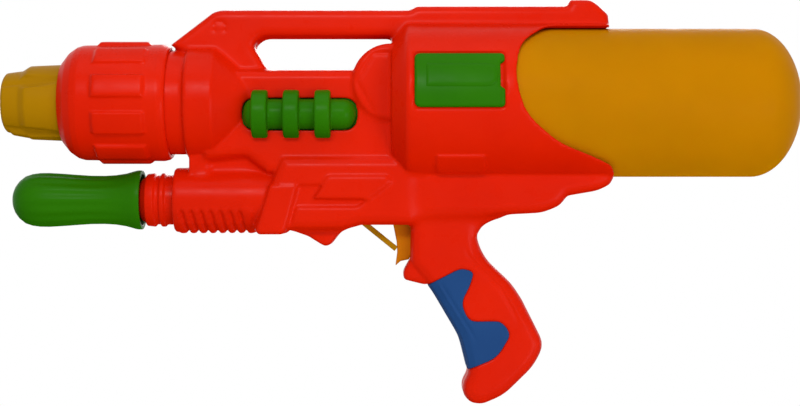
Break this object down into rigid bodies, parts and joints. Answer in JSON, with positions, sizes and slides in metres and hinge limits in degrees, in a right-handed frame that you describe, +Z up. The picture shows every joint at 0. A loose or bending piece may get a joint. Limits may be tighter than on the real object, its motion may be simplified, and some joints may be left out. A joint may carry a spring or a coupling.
{
  "type": "pump-action water squirter",
  "caption": "Long toy water squirter: round tank behind a cowled body, carry bar over a window, pump handle under a ribbed collar with a lobed nozzle, pistol grip and trigger.",
  "frame": {"origin": "middle of the grip, where the palm closes on it, on the parting plane of the two shells", "axes": "-X the way the water leaves, +X towards the tank's end, +Y the gun's right side, +Z up"},
  "size_m": [0.5147, 0.107, 0.2601],
  "materials": {
    "shell_red": "glossy moulded",
    "green": "glossy moulded",
    "tank_amber": "blow moulded, faintly translucent",
    "nozzle_yellow": "glossy moulded",
    "grip_blue": "soft satin",
    "white_plastic": "satin",
    "rubber": "matt",
    "clear_hose": "milky flexible",
    "steel": "plated"
  },
  "bodies": {
    "body": {"body_shell_left": "shell_red", "body_shell_right": "shell_red", "nozzle_collar": "shell_red", "pump_end_cap": "shell_red", "ribbed_insert_left": "green", "ribbed_insert_right": "green", "side_panel_left": "green", "side_panel_right": "green", "trigger_leaf_spring": "nozzle_yellow", "grip_inlay": "grip_blue", "nozzle_spigot": "white_plastic", "jet_tip": "white_plastic", "pump_cylinder": "white_plastic", "check_valve_body": "white_plastic", "tank_head": "white_plastic", "valve_body": "white_plastic", "spigot_seal": "rubber", "rod_seal": "rubber", "plunger_seal": "rubber", "check_valve_duckbill": "rubber", "air_hose": "clear_hose", "water_hose": "clear_hose", "feed_hose": "clear_hose", "pickup_tube": "clear_hose", "trigger_pin": "steel", "screw_nose_top": "steel", "screw_rear_top": "steel", "screw_keel_tail": "steel", "screw_housing": "steel", "screw_chin": "steel", "screw_mid_front": "steel", "screw_mid_rear": "steel", "screw_grip": "steel", "screw_butt": "steel"},
    "nozzle": {"nozzle": "nozzle_yellow"},
    "pump": {"pump_handle": "green", "pump_rod": "white_plastic", "pump_piston": "white_plastic", "piston_seal": "rubber"},
    "trigger": {"trigger": "nozzle_yellow"},
    "plunger": {"valve_plunger": "white_plastic"},
    "neck_ring": {"neck_gasket": "rubber"},
    "tank": {"tank": "tank_amber"}
  },
  "joints": [
    {"name": "pump_slide", "type": "slide", "parent": "body", "child": "pump", "axis": [-1, 0, 0], "range_m": [0, 0.09]},
    {"name": "trigger_pull", "type": "hinge", "parent": "body", "child": "trigger", "pos_m": [-0.048, 0, 0.06], "axis": [0, -1, 0], "range_deg": [0, 14], "stiffness_Nm_per_rad": 0.4, "springref_deg": -8.59, "deforming": ["trigger_leaf_spring"]},
    {"name": "plunger_slide", "type": "slide", "parent": "body", "child": "plunger", "axis": [1, 0, 0], "range_m": [0, 0.005]},
    {"name": "nozzle_turn", "type": "hinge", "parent": "body", "child": "nozzle", "pos_m": [-0.29, 0, 0.128], "axis": [1, 0, 0], "range_deg": [-90, 90]},
    {"name": "tank_withdraw", "type": "slide", "parent": "body", "child": "neck_ring", "axis": [1, 0, 0], "range_m": [0, 0.225]},
    {"name": "tank_turn", "type": "hinge", "parent": "neck_ring", "child": "tank", "pos_m": [0, 0, 0.128], "axis": [1, 0, 0], "range_deg": [0, 360]}
  ],
  "couplings": [
    {"joint": "plunger_slide", "follows": "trigger_pull", "m_per_rad": 0.02}
  ]
}
